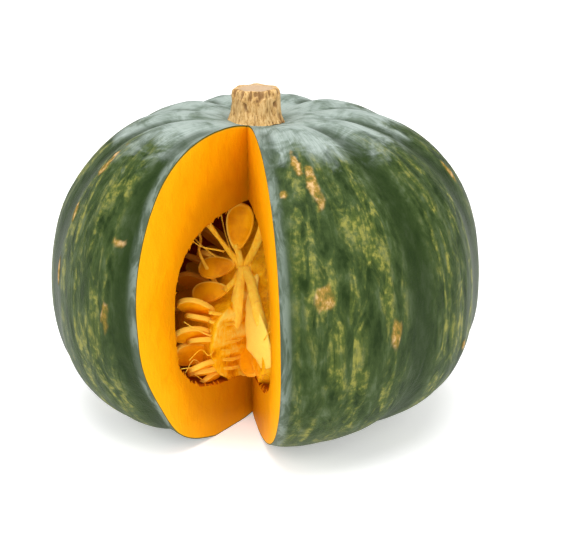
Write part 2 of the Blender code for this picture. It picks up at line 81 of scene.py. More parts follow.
def lattice_noise(points, size, seed):
    """Smooth noise from -1 to 1: values hashed at a cubic lattice's corners, blended by a smooth step."""
    place = np.asarray(points) / size
    cell = np.floor(place).astype(np.int64)
    part = place - cell
    part = part * part * (3 - 2 * part)
    total = np.zeros(place.shape[:-1])
    for corner in itertools.product((0, 1), repeat=3):
        at = cell + np.array(corner)
        mixed = (at[..., 0] * 73856093) ^ (at[..., 1] * 19349663) ^ (at[..., 2] * 83492791)
        mixed = mixed ^ (seed * 50331653)
        mixed = (mixed ^ (mixed >> 13)) * 1274126177
        value = ((mixed ^ (mixed >> 16)) & 0xFFFF) / 32767.5 - 1
        total += value * np.prod(np.where(corner, part, 1 - part), axis=-1)
    return total


def layered_noise(points, size, layers, seed):
    """Sum of lattice noise in layers, each half the size and half the height of the one before."""
    total = sum(lattice_noise(points, size / 2 ** i, seed + i) / 2 ** i for i in range(layers))
    return total / (2 - 2 ** (1 - layers))


def smooth_step(value, low, high):
    share = np.clip((value - low) / (high - low), 0, 1)
    return share * share * (3 - 2 * share)


def stacked(*parts):
    """Parts side by side on a last axis, each stretched to the shape that they share."""
    return np.stack(np.broadcast_arrays(*parts), -1)


def ring_points(radius, azimuth, height, x=0.0, y=0.0):
    """Points on rings round the upright line through x and y."""
    turn = np.radians(azimuth)
    return stacked(x + radius * np.cos(turn), y + radius * np.sin(turn), height)


def meridian(latitude):
    """Radius and height of the smooth fruit: a superellipse less the dimple at each end."""
    turn = np.radians(latitude)
    upper = turn > 0
    power = np.where(upper, 2 / TOP_FULLNESS, 2 / BOTTOM_FULLNESS)
    radius = MEAN_RADIUS * np.abs(np.cos(turn)) ** power
    height = np.where(upper, TOP_RISE, -BOTTOM_DROP) * np.abs(np.sin(turn)) ** power
    stem_dimple = STEM_DIMPLE_DEPTH * np.exp(-(radius / STEM_DIMPLE_RADIUS) ** 2)
    blossom_dimple = BLOSSOM_DIMPLE_DEPTH * np.exp(-(radius / BLOSSOM_DIMPLE_RADIUS) ** 2)
    return radius, height + np.where(upper, -stem_dimple, blossom_dimple)


LOWEST = meridian(np.linspace(-90, 0, 721))[1].min()


def centre_at(latitude):
    """Middle of the ring of skin at a latitude: the ends lean off the axis."""
    end = np.sin(np.radians(latitude)) ** 2
    return stacked(np.where(latitude > 0, TOP_LEAN_X, BOTTOM_LEAN_X) * end,
                   np.where(latitude > 0, TOP_LEAN_Y, BOTTOM_LEAN_Y) * end)


def half_turn(angle):
    """An angle brought between -180 and 180."""
    return (angle + 180) % 360 - 180


def groove_mask(azimuth):
    """Sum of one bell for each groove."""
    return sum(np.exp(-(half_turn(azimuth - at) / GROOVE_HALF_WIDTH) ** 2) for at in GROOVE_AZIMUTHS)


def rib_share(azimuth):
    """Place across a rib, from 0 at one groove to 1 at the next."""
    grooves = np.array([GROOVE_AZIMUTHS[-1] - 360, *GROOVE_AZIMUTHS, GROOVE_AZIMUTHS[0] + 360])
    return np.interp(half_turn(azimuth), grooves, np.arange(len(grooves))) % 1


def dent_depth(azimuth, latitude):
    """Sum of the dents, each a bell over the angle between a point's direction and the dent's."""
    depth = np.zeros_like(azimuth)
    for dent_azimuth, dent_latitude, deepest, spread in DENTS:
        here, there = np.radians(latitude), math.radians(dent_latitude)
        nearness = (np.cos(here) * math.cos(there) * np.cos(np.radians(azimuth - dent_azimuth))
                    + np.sin(here) * math.sin(there))
        away = np.degrees(np.arccos(np.clip(nearness, -1, 1)))
        depth = depth + deepest * np.exp(-(away / spread) ** 2)
    return depth


def cork_mask(latitude, azimuth, plain):
    """1 on the corky scars: ovals whose edge is frayed by noise."""
    fray = CORK_FRAY * layered_noise(plain * (1, 1, 0.40), CORK_FRAY_SIZE, 3, 31)
    mask = np.zeros_like(azimuth)
    for scar_azimuth, scar_latitude, length, width in SCARS:
        across = np.radians(half_turn(azimuth - scar_azimuth)) * MEAN_RADIUS
        across = across * np.cos(np.radians(scar_latitude)) ** 0.8
        down = np.radians(latitude - scar_latitude) * MEAN_RADIUS
        away = np.hypot(2 * across / width, 2 * down / length) + fray
        mask = np.maximum(mask, 1 - smooth_step(away, *CORK_EDGE))
    return mask


def nub_share(latitude, radius):
    """1 on the blossom scar and 0 off it, along a bell with a flat top."""
    return np.where(latitude < 0, np.exp(-(radius / NUB_RADIUS) ** 4), 0)


def skin_points(latitude, azimuth):
    """Points of the skin: the meridian moved along its normal by the relief, then dented and leant."""
    radius, height = meridian(latitude)
    step = 0.05
    radius_a, height_a = meridian(np.clip(latitude - step, -90, 90))
    radius_b, height_b = meridian(np.clip(latitude + step, -90, 90))
    along = np.hypot(radius_b - radius_a, height_b - height_a) + 1e-12
    normal_r, normal_z = (height_b - height_a) / along, -(radius_b - radius_a) / along
    plain = ring_points(radius, azimuth, height)
    fade = smooth_step(radius, RIB_START_RADIUS, RIB_FULL_RADIUS)
    shoulder = np.sin(np.radians(np.abs(latitude))) ** 2
    depth = GROOVE_DEPTH_WAIST + (GROOVE_DEPTH_SHOULDER - GROOVE_DEPTH_WAIST) * shoulder
    share = rib_share(azimuth)
    furrows = sum(np.exp(-((share - at) / FURROW_WIDTH) ** 2) for at in FURROW_PLACES)
    wander = 0.6 + 0.4 * lattice_noise(plain, FURROW_WANDER, 5)
    relief = RIB_SWELL - depth * groove_mask(azimuth) - FURROW_DEPTH * furrows * wander
    relief = relief * fade + LUMP_HEIGHT * (lattice_noise(plain, LUMP_SIZE, 9) - 0.6) * fade
    relief = relief + GRAIN_HEIGHT * layered_noise(plain, GRAIN_SIZE, 2, 17) * fade
    relief = relief + CORK_HEIGHT * cork_mask(latitude, azimuth, plain)
    nub = nub_share(latitude, radius) * NUB_HEIGHT * (0.85 + 0.25 * layered_noise(plain, 0.003, 2, 41))
    reach = radius + relief * normal_r - dent_depth(azimuth, latitude) * fade
    tall = np.maximum(height - LOWEST + relief * normal_z - nub - FOOT_FLAT, 0)
    centre = centre_at(latitude)
    return ring_points(reach, azimuth, tall, AXIS_X + centre[..., 0], AXIS_Y + centre[..., 1])


# The two cuts
# A knife took out a wedge of 44 degrees. Its two cuts are flat and meet in a line just in front of the
# axis. That line leans back a little towards the stem, and the cuts pass through the seed cavity.
NOTCH_AXIS_FOOT, NOTCH_AXIS_TOP = (-0.0032, -0.0142), (-0.0040, -0.0164)
NOTCH_AXIS_HEIGHT = 0.139
NOTCH_HALF_ANGLE, NOTCH_MID_AZIMUTH = 22.05, -90.0
CAVITY_RADIUS, CAVITY_HALF_HEIGHT, CAVITY_MID_HEIGHT = 0.0680, 0.0400, 0.0620
CAVITY_TOP_FULLNESS, CAVITY_BOTTOM_FULLNESS = 2.95, 3.40
SKIN_COLUMNS, SKIN_ROWS, CAP_ROWS = 350, 176, 12
CAVITY_COLUMNS, CAVITY_CAP_ROWS, FLESH_COLUMNS = 90, 6, 30
# Height and size of each roughness, and the share to which the wall's heights are pressed to draw it out
CAVITY_LUMPS, CAVITY_FIBRES, CAVITY_FIBRE_DRAW = (0.0011, 0.009), (0.0006, 0.0025), 0.35
CUT_WAVES, CUT_GRAIN, CUT_BORDER = (0.00022, 0.012), (0.00016, 0.0028), (0.12, 0.04)
ROWS_AT_ENDS, WELD = 0.35, 1e-6
LEFT, RIGHT = -1, 1


def heading(azimuth, rise=0.0):
    turn, up = math.radians(azimuth), math.radians(rise)
    return np.array([math.cos(up) * math.cos(turn), math.cos(up) * math.sin(turn), math.sin(up)])


def cut_heading(side, turn=0):
    """Direction out along a cut; a turn of 90 leads into the flesh."""
    return heading(NOTCH_MID_AZIMUTH + side * (NOTCH_HALF_ANGLE + turn))


def notch_axis(height, set_back=0.0):
    """Points of the line where the cuts meet, at heights, moved back into the fruit."""
    share = np.asarray(height)[..., None] / NOTCH_AXIS_HEIGHT
    foot, top = np.array(NOTCH_AXIS_FOOT), np.array(NOTCH_AXIS_TOP)
    return (AXIS_X, AXIS_Y) + foot + share * (top - foot) + (0, set_back)


def cavity_points(latitude, azimuth):
    """Points of the cavity's wall: a superellipse turned about the axis, roughened by fibres."""
    turn = np.radians(latitude)
    power = np.where(turn > 0, 2 / CAVITY_TOP_FULLNESS, 2 / CAVITY_BOTTOM_FULLNESS)
    reach = CAVITY_RADIUS * np.abs(np.cos(turn)) ** power
    rise = CAVITY_HALF_HEIGHT * np.sign(turn) * np.abs(np.sin(turn)) ** power
    plain = ring_points(reach, azimuth, rise * CAVITY_FIBRE_DRAW)
    lumps = CAVITY_LUMPS[0] * layered_noise(plain, CAVITY_LUMPS[1], 3, 57)
    fibres = CAVITY_FIBRES[0] * layered_noise(plain, CAVITY_FIBRES[1], 2, 77)
    grow = 1 + (lumps + fibres) / CAVITY_RADIUS
    return ring_points(grow * reach, azimuth, CAVITY_MID_HEIGHT + grow * rise, AXIS_X, AXIS_Y)


def no_lean(latitude):
    """Middle of the cavity's rings and of the core's: all stand on the axis."""
    return np.zeros((*np.shape(latitude), 2))


def cut_azimuth(surface, lean, latitude, side, set_back):
    """Azimuth at which each ring of a surface meets a cut: a length along the cut is corrected to fit."""
    out = cut_heading(side)[:2]
    middle = lean(latitude) + (AXIS_X, AXIS_Y)
    along = np.full_like(latitude, 0.04)
    azimuth = np.full_like(latitude, NOTCH_MID_AZIMUTH)
    for _ in range(60):
        ring = surface(latitude, azimuth)
        place = notch_axis(ring[:, 2], set_back) + along[:, None] * out - middle
        azimuth = np.degrees(np.arctan2(place[:, 1], place[:, 0]))
        gap = np.linalg.norm(ring[:, :2] - middle, axis=1) - np.linalg.norm(place, axis=1)
        along = np.maximum(along + gap, 0)
    return azimuth


def end_latitude(surface, lean, low, high, set_back):
    """Latitude between low and high at which a ring is just wide enough to touch the notch's inner line."""
    for _ in range(50):
        middle = (low + high) / 2
        latitude = np.array([middle])
        centre = lean(latitude)[0] + (AXIS_X, AXIS_Y)
        azimuth = np.zeros(1)
        for _ in range(4):
            ring = surface(latitude, azimuth)[0]
            place = notch_axis(ring[2], set_back) - centre
            azimuth = np.array([math.degrees(math.atan2(place[1], place[0]))])
        wide = np.hypot(*(ring[:2] - centre)) > np.hypot(*place)
        low, high = (middle, high) if wide else (low, middle)
    return (low + high) / 2


def notched_grid(surface, lean, rows, cap_rows, columns, set_back=0.0):
    """Grid of points over a surface from the right cut round the back to the left cut."""
    low = end_latitude(surface, lean, 0.0, -89.9, set_back)
    high = end_latitude(surface, lean, 0.0, 89.9, set_back)
    crowded = low + (high - low) * (1 - np.cos(np.linspace(0, math.pi, rows))) / 2
    opened = (1 - ROWS_AT_ENDS) * np.linspace(low, high, rows) + ROWS_AT_ENDS * crowded
    latitude = np.concatenate([np.linspace(-90, low, cap_rows, endpoint=False), opened,
                               np.linspace(90, high, cap_rows, endpoint=False)[::-1]])
    right = cut_azimuth(surface, lean, latitude, RIGHT, set_back)
    left = cut_azimuth(surface, lean, latitude, LEFT, set_back) + 360
    left = np.where(left - right > 360.001, left - 360, left)
    share = np.linspace(0, 1, columns)
    azimuth = right[:, None] + (left - right)[:, None] * share
    latitude = np.repeat(latitude[:, None], columns, 1)
    return latitude, azimuth, surface(latitude, azimuth)


def grid_faces(rows, columns, first):
    """Index array of the quads of a grid whose first point has the index first."""
    index = first + np.arange(rows * columns).reshape(rows, columns)
    return np.stack([index[:-1, :-1], index[:-1, 1:], index[1:, 1:], index[1:, :-1]], -1).reshape(-1, 4)


def linked(name, data):
    made = bpy.data.objects.new(name, data)
    bpy.context.collection.objects.link(made)
    return made


def ride_root(piece, node):
    """Put a piece in place of a node of the part."""
    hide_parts(node)
    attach(piece, "root")


def patch_of(points, maps, material=0, **values):
    """A grid of points with its map coordinates, its material's number and values at its points."""
    return {"points": points, "map": maps, "material": material, "values": values}


def joined_mesh(name, patches, materials):
    """One object from patches, welded where they meet."""
    points, maps, faces, numbers, values, first = [], [], [], [], {}, 0
    for patch in patches:
        rows, columns = patch["points"].shape[:2]
        faces.append(grid_faces(rows, columns, first))
        points.append(patch["points"].reshape(-1, 3))
        maps.append(patch["map"].reshape(-1, 2))
        numbers.append(np.full(len(faces[-1]), patch["material"]))
        first += rows * columns
    for key in sorted({key for patch in patches for key in patch["values"]}):
        values[key] = np.concatenate([
            np.broadcast_to(patch["values"].get(key, 0.0), patch["points"].shape[:2]).ravel()
            for patch in patches])
    points, maps, faces = np.concatenate(points), np.concatenate(maps), np.concatenate(faces)
    mesh = bpy.data.meshes.new(name)
    mesh.from_pydata(points, [], faces)
    layer = mesh.uv_layers.new(name="Map")
    layer.data.foreach_set("uv", maps[faces.ravel()].ravel())
    for key, value in values.items():
        mesh.attributes.new(key, "FLOAT", "POINT").data.foreach_set("value", value)
    mesh.polygons.foreach_set("material_index", np.concatenate(numbers))
    for material in materials:
        mesh.materials.append(material)
    shape = bmesh.new()
    shape.from_mesh(mesh)
    bmesh.ops.remove_doubles(shape, verts=shape.verts, dist=WELD)
    bmesh.ops.dissolve_degenerate(shape, edges=shape.edges, dist=WELD / 10)
    bmesh.ops.recalc_face_normals(shape, faces=shape.faces)
    shape.to_mesh(mesh)
    shape.free()
    mesh.shade_smooth()
    return linked(name, mesh)


def between(first, last, share):
    """Grid of points from one line of points to another, at shares of the way."""
    return first[:, None] * (1 - share)[:, None] + last[:, None] * share[:, None]


def cut_patch(outer, inner, side, values):
    """Grid over a cut face from its edge on the skin, whose values it keeps, to its edge on the cavity."""
    share = np.linspace(0, 1, FLESH_COLUMNS)
    share = share - CUT_BORDER[0] * np.sin(2 * math.pi * share) / (2 * math.pi)
    grid = between(outer, inner, share)
    down = np.linspace(1, 0, len(outer))
    border = np.minimum(share, 1 - share)
    ends = smooth_step(np.minimum(down, 1 - down), 0, CUT_BORDER[1])
    border = smooth_step(border, 0, CUT_BORDER[0]) * ends[:, None]
    rough = (CUT_WAVES[0] * layered_noise(grid, CUT_WAVES[1], 2, 91)
             + CUT_GRAIN[0] * layered_noise(grid * (1, 1, 0.5), CUT_GRAIN[1], 2, 95))
    grid = grid + (rough * border)[..., None] * cut_heading(side, -90)
    return patch_of(grid, stacked(share[None], down[:, None]), 1, **values)


# Shader maths
class Socket:
    """A node's output, or a value, with operators that add Math nodes."""

    def __init__(self, tree, link):
        self.tree, self.link = tree, link

    def maths(self, operation, *values):
        return self.tree.node("ShaderNodeMath", {"operation": operation}, dict(enumerate(values)))

    def __add__(self, other):
        return self.maths("ADD", self, other)

    def __sub__(self, other):
        return self.maths("SUBTRACT", self, other)

    def __rsub__(self, other):
        return self.maths("SUBTRACT", other, self)

    def __mul__(self, other):
        return self.maths("MULTIPLY", self, other)

    __radd__, __rmul__ = __add__, __mul__

    def step(self, low, high):
        """0 below low and 1 above high, along a smooth step."""
        return self.tree.node("ShaderNodeMapRange", {"interpolation_type": "SMOOTHSTEP"},
                              {"Value": self, "From Min": low, "From Max": high})


class Finish:
    """A material's node tree, with one method that adds a node."""

    def __init__(self, name, **constants):
        self.material = bpy.data.materials.new(name)
        self.material.use_nodes = True
        self.nodes = self.material.node_tree.nodes
        self.links = self.material.node_tree.links
        self.shader = self.nodes["Principled BSDF"]
        for socket, value in constants.items():
            self.shader.inputs[socket.replace("_", " ")].default_value = value

    def node(self, kind, settings=None, inputs=None, output=0):
        made = self.nodes.new(kind)
        for key, value in (settings or {}).items():
            if key == "stops":
                ramp = made.color_ramp
                while len(ramp.elements) < len(value):
                    ramp.elements.new(0.5)
                for element, (place, colour) in zip(ramp.elements, value):
                    element.position, element.color = place, (*colour, 1.0)
            else:
                setattr(made, key, value)
        for key, value in (inputs or {}).items():
            if isinstance(value, Socket):
                self.links.new(value.link, made.inputs[key])
            else:
                made.inputs[key].default_value = value
        return Socket(self, made.outputs[output])

    def noise(self, where, scale, detail=2.0, rough=0.5, distortion=0.0):
        return self.node("ShaderNodeTexNoise", {}, {"Vector": where, "Scale": scale, "Detail": detail,
                                                    "Roughness": rough, "Distortion": distortion})

    def ramp(self, value, stops):
        return self.node("ShaderNodeValToRGB", {"stops": stops}, {"Fac": value})

    def mix(self, share, first, second):
        """Colour between two, each a colour or a socket; inputs 6 and 7 of the node are its colours."""
        return self.node("ShaderNodeMix", {"data_type": "RGBA"},
                         {0: share, 6: first if isinstance(first, Socket) else (*first, 1.0),
                          7: second if isinstance(second, Socket) else (*second, 1.0)}, 2)

    def value(self, name):
        return self.node("ShaderNodeAttribute", {"attribute_name": name}, {}, "Fac")

    def stretched(self, where, stretch):
        return self.node("ShaderNodeMapping", {}, {"Vector": where, "Scale": stretch})

    def place(self, upright=1.0):
        """Object coordinates in millimetres, the upright one pressed to a share."""
        where = self.node("ShaderNodeTexCoord", {}, {}, "Object")
        return self.stretched(where, (1000, 1000, 1000 * upright))

    def chart(self, stretch=(1.0, 1.0)):
        """The piece's own map, stretched to millimetres."""
        return self.stretched(self.node("ShaderNodeUVMap", {"uv_map": "Map"}), (*stretch, 1.0))

    def chart_part(self, axis):
        return self.node("ShaderNodeSeparateXYZ", {}, {"Vector": self.chart()}, axis)

    def bump(self, height, distance, strength=1.0, under=None):
        inputs = {"Height": height, "Distance": distance, "Strength": strength}
        if under:
            inputs["Normal"] = under
        return self.node("ShaderNodeBump", {}, inputs)

    def feed(self, **sockets):
        for socket, value in sockets.items():
            self.links.new(value.link, self.shader.inputs[socket.replace("_", " ")])
        return self.material


# Skin
# Dark green under a grey waxy bloom that is thick near the stem; the pale grey there is also a painted
# sheen of the overhead light. Yellow green mottles run down the ribs in rows, the grooves stay dark,
# the skin beside each cut is paler with a painted sheen, the lower part is paler grey green with a
# painted reflection of the white floor, and corky tan scars stand on it.
DEEP_GREEN, MID_GREEN, GREY_GREEN = (0.012, 0.026, 0.004), (0.038, 0.062, 0.016), (0.085, 0.115, 0.055)
MOTTLE_GREEN, MOTTLE_YELLOW = (0.080, 0.110, 0.020), (0.235, 0.225, 0.045)
# The two bloom colours are waxy bloom and a painted sheen of the overhead light together; the third is a
# painted sheen on the skin beside the cuts.
BLOOM_SHEEN_PALE, BLOOM_SHEEN_GREY, CUT_SHEEN_GREY = (0.38, 0.44, 0.41), (0.150, 0.195, 0.165), (0.25, 0.30, 0.26)
CORK_PALE, CORK_TAN, CORK_BROWN = (0.56, 0.36, 0.17), (0.30, 0.18, 0.035), (0.12, 0.105, 0.020)
WAIST_GIRTH, MERIDIAN_LENGTH = 597.0, 250.0
# Width of the painted sheen on the skin beside each cut.
CUT_SHEEN_WIDTH = 0.0036


def skin_finish():
    skin = Finish("waxy_green_skin", Specular_IOR_Level=0.07)
    around = skin.chart((WAIST_GIRTH, MERIDIAN_LENGTH))
    long_streaks = skin.stretched(around, (0.26, 0.022, 1.0))
    short_streaks = skin.stretched(around, (0.24, 0.085, 1.0))
    rows = skin.noise(long_streaks, 0.62, 1.0)
    blotches = skin.noise(short_streaks, 0.62, 5.0, 0.62, 1.0)
    specks = skin.noise(around, 0.34, 4.0, 0.6)
    groove, cork, height = skin.value("groove"), skin.value("cork"), skin.value("up")
    clouds = skin.noise(skin.place(0.4), 0.20, 5.0, 0.65, 0.2)
    base = skin.ramp(clouds * 0.6 + blotches * 0.4,
                     [(0.38, DEEP_GREEN), (0.52, MID_GREEN), (0.66, GREY_GREEN)])
    # The lower part turns paler grey green: a painted reflection of the white floor.
    low = 1 - height.step(0.14, 0.40)
    base = skin.mix(low * 0.6, base, GREY_GREEN)
    high = height.step(0.72, 0.90)
    mottle = rows.step(0.38, 0.56) * blotches.step(0.42, 0.60) * (1 - groove.step(0.25, 0.75))
    mottle = mottle * height.step(0.10, 0.30) * (1 - high * 0.9)
    mottle = mottle * (0.35 + specks.step(0.30, 0.70) * 0.65)
    spots = skin.mix((blotches + specks + clouds - 1.0).step(0.44, 0.76), MOTTLE_GREEN, MOTTLE_YELLOW)
    colour = skin.mix(mottle, base, spots)
    # Pale grey near the stem: waxy bloom together with a painted sheen of the overhead light.
    wax_and_sheen = skin.noise(skin.place(0.4), 0.09, 4.0, 0.6, 0.5)
    lines = skin.noise(long_streaks, 3.2, 2.0, 0.6)
    bloom_sheen = (high + (wax_and_sheen - 0.5) * 1.6 * height.step(0.50, 0.80)).step(0.30, 1.0)
    pale = skin.mix(lines.step(0.32, 0.68) * 0.4 + wax_and_sheen.step(0.35, 0.6) * 0.6, BLOOM_SHEEN_GREY, BLOOM_SHEEN_PALE)
    colour = skin.mix(bloom_sheen * 0.85, colour, pale)
    colour = skin.mix(groove.step(0.45, 1.0) * 0.75, colour, DEEP_GREEN)
    # Paler grey beside each cut: a painted sheen.
    colour = skin.mix(skin.value("band") * (0.20 + blotches.step(0.42, 0.60) * 0.45), colour, CUT_SHEEN_GREY)
    cork_colour = skin.ramp(skin.noise(skin.place(0.6), 0.40, 4.0, 0.6),
                            [(0.36, CORK_BROWN), (0.50, CORK_TAN), (0.64, CORK_PALE)])
    colour = skin.mix(cork.step(0.10, 0.95) * 0.95, colour, cork_colour)
    rough = 0.46 + cork.step(0.2, 0.6) * 0.35 + bloom_sheen * 0.1
    fine = skin.noise(skin.place(), 0.9, 3.0, 0.65)
    normal = skin.bump(fine, 0.0004, 0.5)
    normal = skin.bump(blotches, 0.0016, 0.35, normal)
    return skin.feed(Base_Color=colour, Roughness=rough, Normal=normal)


# Flesh
# Firm and moist. A thin olive line of rind edges each cut, then it is bright yellow orange, and deeper
# orange towards the cavity and both ends.
RIND_OLIVE, RIND_YELLOW = (0.075, 0.080, 0.008), (0.78, 0.46, 0.03)
FLESH_BRIGHT, FLESH_MID, FLESH_DEEP = (0.88, 0.390, 0.004), (0.80, 0.335, 0.001), (0.63, 0.245, 0.001)
FLESH_TORN = (0.60, 0.170, 0.001)


def flesh_finish():
    flesh = Finish("orange_flesh", Roughness=0.55, Subsurface_Weight=0.06, Subsurface_Scale=0.003,
                   Specular_IOR_Level=0.04)
    across, down = flesh.chart_part("X"), flesh.chart_part("Y")
    grain = flesh.noise(flesh.place(0.55), 0.22, 4.0, 0.62, 0.6)
    cloud = flesh.noise(flesh.place(), 0.045, 2.0)
    ends = down.step(0.60, 0.95) * 0.8 - down.step(0.04, 0.35) * 0.4
    depth = across + (cloud - 0.5) * 0.8 + ends + 0.35
    colour = flesh.ramp(depth, [(0.15, FLESH_BRIGHT), (0.60, FLESH_MID), (1.0, FLESH_DEEP)])
    colour = flesh.mix(grain.step(0.46, 0.74) * (0.1 + depth * 0.15), colour, FLESH_TORN)
    colour = flesh.mix((1 - across.step(0.010, 0.040)) * 0.8, colour, RIND_YELLOW)
    colour = flesh.mix(1 - across.step(0.010, 0.028), colour, RIND_OLIVE)
    wet = flesh.noise(flesh.place(), 0.9, 3.0, 0.6)
    normal = flesh.bump(wet, 0.0003, 0.4, flesh.bump(grain, 0.0010, 0.45))
    return flesh.feed(Base_Color=colour, Normal=normal)


# Cavity wall
# Where the pulp tore away: deeper orange and fibrous.
WALL_ORANGE, WALL_BROWN = (0.66, 0.19, 0.003), (0.34, 0.070, 0.002)


def wall_finish():
    wall = Finish("cavity_wall", Roughness=0.6, Subsurface_Weight=0.1, Subsurface_Scale=0.003,
                  Specular_IOR_Level=0.05)
    fibres = wall.noise(wall.place(0.3), 0.25, 4.0, 0.65)
    colour = wall.ramp(fibres, [(0.35, WALL_BROWN), (0.65, WALL_ORANGE)])
    return wall.feed(Base_Color=colour, Normal=wall.bump(fibres, 0.0015, 0.5))


def make_fruit():
    latitude, azimuth, skin = notched_grid(skin_points, centre_at, SKIN_ROWS, CAP_ROWS, SKIN_COLUMNS)
    c_latitude, c_azimuth, cavity = notched_grid(cavity_points, no_lean, SKIN_ROWS, CAVITY_CAP_ROWS,
                                                 CAVITY_COLUMNS)
    radius, height = meridian(latitude)
    plain = ring_points(radius, azimuth, height)
    fade = smooth_step(radius, RIB_START_RADIUS, RIB_FULL_RADIUS)
    beside = radius * np.radians(np.minimum(azimuth - azimuth[:, :1], azimuth[:, -1:] - azimuth))
    outer, inner = slice(CAP_ROWS, CAP_ROWS + SKIN_ROWS), slice(CAVITY_CAP_ROWS, CAVITY_CAP_ROWS + SKIN_ROWS)
    # One value marks the skin beside each cut, where the skin finish paints a sheen.
    values = {"groove": groove_mask(azimuth) * fade,
              "cork": np.maximum(cork_mask(latitude, azimuth, plain), nub_share(latitude, radius)),
              "up": latitude / 180 + 0.5, "band": np.exp(-(beside / CUT_SHEEN_WIDTH) ** 4)}
    patches = [patch_of(skin, stacked(azimuth / 360, latitude / 180 + 0.5), **values),
               patch_of(cavity, stacked(c_azimuth / 360, c_latitude / 180 + 0.5), 2)]
    for side, column in ((RIGHT, 0), (LEFT, -1)):
        edge = {key: value[outer, column, None] for key, value in values.items()}
        patches.append(cut_patch(skin[outer, column], cavity[inner, column], side, edge))
    fruit = joined_mesh("fruit", patches, [skin_finish(), flesh_finish(), wall_finish()])
    fruit.data.set_sharp_from_angle(angle=math.radians(40))
    ride_root(fruit, "squash_body")


# Stem
# What is left of the stalk, dried to tan cork: ridged and wrinkled upright, pitted brown, and flared
# where it grew out of the fruit.
STEM_X, STEM_Y = -0.0034, -0.0026
STEM_NECK_RADIUS, STEM_UNDER_RADIUS = 0.0108, 0.0122
# Radius and height above the dimple of each place up the stem's side and in over its end
STEM_SIDE = ((0.0126, 0.0014), (0.0119, 0.0030), (0.0112, 0.0052), (0.0108, 0.0074), (0.0106, 0.0125),
             (0.0102, 0.0152), (0.0090, 0.0160), (0.0053, 0.0153), (0.0, 0.0151))
STEM_RIDGES, STEM_RIDGE_TURN, STEM_LOBES, STEM_LOBE_TURN = 7, 40, 3, -25
STEM_RIDGE_HEIGHT, STEM_GAP = 0.0006, 0.0004
STEM_COLUMNS, STEM_UNDER_ROWS, STEM_STEPS = 240, 8, 12
WRINKLE_SIZE, WRINKLE_DEPTH = 0.0018, 0.00055
PIT_SIZE, PIT_DEPTH, PIT_EDGE = 0.0021, 0.0008, (0.34, 0.60)
# Shares to which heights are pressed, so that the wrinkles and the pits draw out upright
STEM_DRAWS = 0.16, 0.40
END_START, END_UNEVEN, END_LUMP_SIZE = 0.0128, 0.0004, 0.005
STEM_PALE, STEM_TAN, STEM_BROWN = (0.66, 0.44, 0.19), (0.50, 0.29, 0.09), (0.17, 0.075, 0.018)
STEM_END = (0.42, 0.30, 0.20)


def smooth_path(points, steps):
    """Points along a Catmull-Rom curve through the given ones."""
    p = np.asarray(points, float)
    p = np.vstack([2 * p[0] - p[1], p, 2 * p[-1] - p[-2]])
    t = np.linspace(0, 1, steps, endpoint=False)[:, None]
    spans = [0.5 * (2 * b + (c - a) * t + (2 * a - 5 * b + 4 * c - d) * t ** 2
                    + (3 * b - a - 3 * c + d) * t ** 3) for a, b, c, d in zip(p, p[1:], p[2:], p[3:])]
    return np.vstack([*spans, p[-2]])


def fruit_top_height(x, y):
    """Height of the fruit's outside near the stem."""
    radius = np.hypot(x - TOP_LEAN_X, y - TOP_LEAN_Y)
    latitude = np.degrees(np.arccos(np.clip(radius / MEAN_RADIUS, 0, 1) ** (TOP_FULLNESS / 2)))
    return meridian(latitude)[1] - LOWEST - FOOT_FLAT


def stem_finish():
    cork = Finish("corky_stem", Roughness=0.82)
    pits, end = cork.value("pit"), cork.value("end")
    grain = cork.noise(cork.place(0.25), 1.1, 3.0, 0.7)
    colour = cork.ramp(grain, [(0.32, STEM_BROWN), (0.46, STEM_TAN), (0.62, STEM_PALE)])
    colour = cork.mix(end * 0.8, colour, STEM_END)
    colour = cork.mix(pits * 0.8, colour, STEM_BROWN)
    return cork.feed(Base_Color=colour, Normal=cork.bump(grain, 0.0005, 0.6))


def make_stem():
    """The stub: its underside follows the dimple, and ridges, wrinkles and pits run up its side."""
    foot = float(fruit_top_height(np.array(STEM_X), np.array(STEM_Y)))
    side = smooth_path(STEM_SIDE, STEM_STEPS)
    under = np.linspace(0, STEM_UNDER_RADIUS, STEM_UNDER_ROWS)
    radius = np.concatenate([under, np.maximum(side[:, 0], 0)])[:, None]
    height = np.concatenate([0 * under, foot + side[:, 1]])[:, None]
    azimuth = np.linspace(0, 360, STEM_COLUMNS + 1)[None]
    ridge = (np.cos(np.radians(STEM_RIDGES * azimuth + STEM_RIDGE_TURN))
             + 0.5 * np.cos(np.radians(STEM_LOBES * azimuth + STEM_LOBE_TURN)))
    drawn, pitted = (ring_points(STEM_NECK_RADIUS, azimuth, height * share) for share in STEM_DRAWS)
    wrinkle = layered_noise(drawn, WRINKLE_SIZE, 2, 61) - 0.8
    pit = smooth_step(layered_noise(pitted, PIT_SIZE, 2, 67), *PIT_EDGE)
    wall = smooth_step(radius, 0.55 * STEM_NECK_RADIUS, STEM_NECK_RADIUS - 0.0012)
    reach = radius + (STEM_RIDGE_HEIGHT * ridge * np.minimum(radius / STEM_NECK_RADIUS, 1)
                      + (WRINKLE_DEPTH * wrinkle - PIT_DEPTH * pit) * wall)
    plan = ring_points(reach, azimuth, 0.0, STEM_X, STEM_Y)
    x, y, _ = np.moveaxis(plan, -1, 0)
    lumps = layered_noise(plan, END_LUMP_SIZE, 3, 71) - 1
    rest = height + END_UNEVEN * lumps * (height > foot + END_START)
    below = np.arange(len(radius))[:, None] < STEM_UNDER_ROWS
    tall = np.where(below, fruit_top_height(x, y) + STEM_GAP, rest)
    rows = np.linspace(0, 1, len(radius))[:, None]
    patch = patch_of(stacked(AXIS_X + x, AXIS_Y + y, tall), stacked(azimuth / 360, rows), pit=pit * wall,
                     end=(1 - wall) * (height > foot))
    ride_root(joined_mesh("stem_stub", [patch], [stem_finish()]), "stem")


